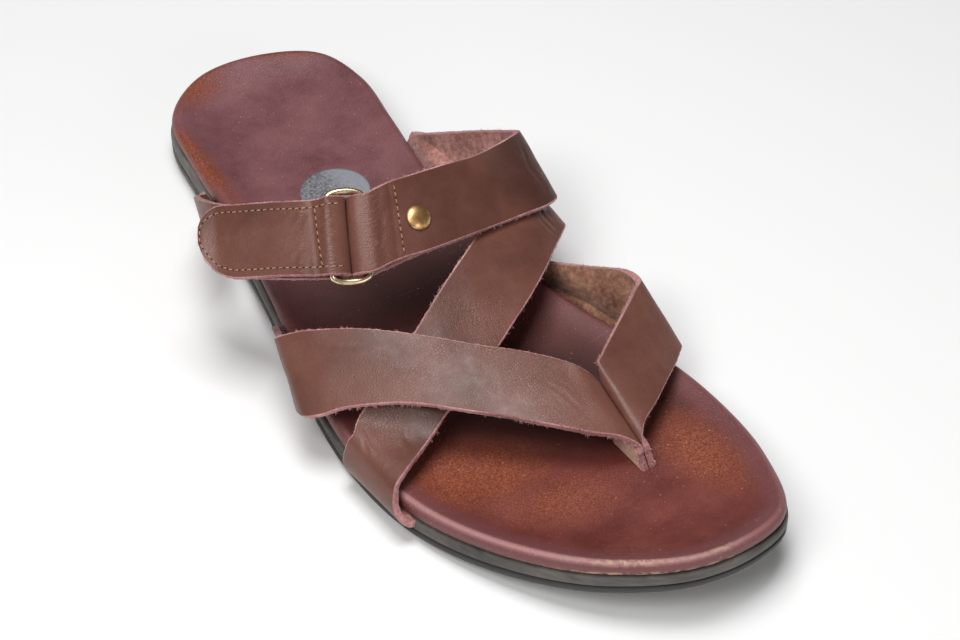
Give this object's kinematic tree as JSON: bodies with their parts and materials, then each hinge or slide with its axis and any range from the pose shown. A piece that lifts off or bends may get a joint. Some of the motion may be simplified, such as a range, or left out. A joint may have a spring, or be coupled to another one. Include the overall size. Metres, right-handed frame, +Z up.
{
  "type": "leather sandal",
  "caption": "Flat toe-post sandal with crossed leather straps, a ring-fastened instep strap, a leather footbed and a rubber sole.",
  "frame": {"origin": "middle of the overall box, on the floor", "axes": "+Z up from the floor, +Y towards the heel, -Y towards the toes, +X towards the inner (big toe) side of a right foot"},
  "size_m": [0.1098, 0.2564, 0.0586],
  "materials": {
    "outsole": "matt dark brown-grey",
    "footbed": "burnished, reddish brown",
    "upper": "semi-gloss brown grain",
    "buckle_strap": "semi-gloss brown grain",
    "ring": "pale antique",
    "rivet": "antique"
  },
  "bodies": {
    "root": {"outsole": "outsole", "footbed": "footbed", "upper": "upper", "buckle_strap": "buckle_strap", "ring": "ring", "rivet": "rivet"}
  },
  "joints": []
}
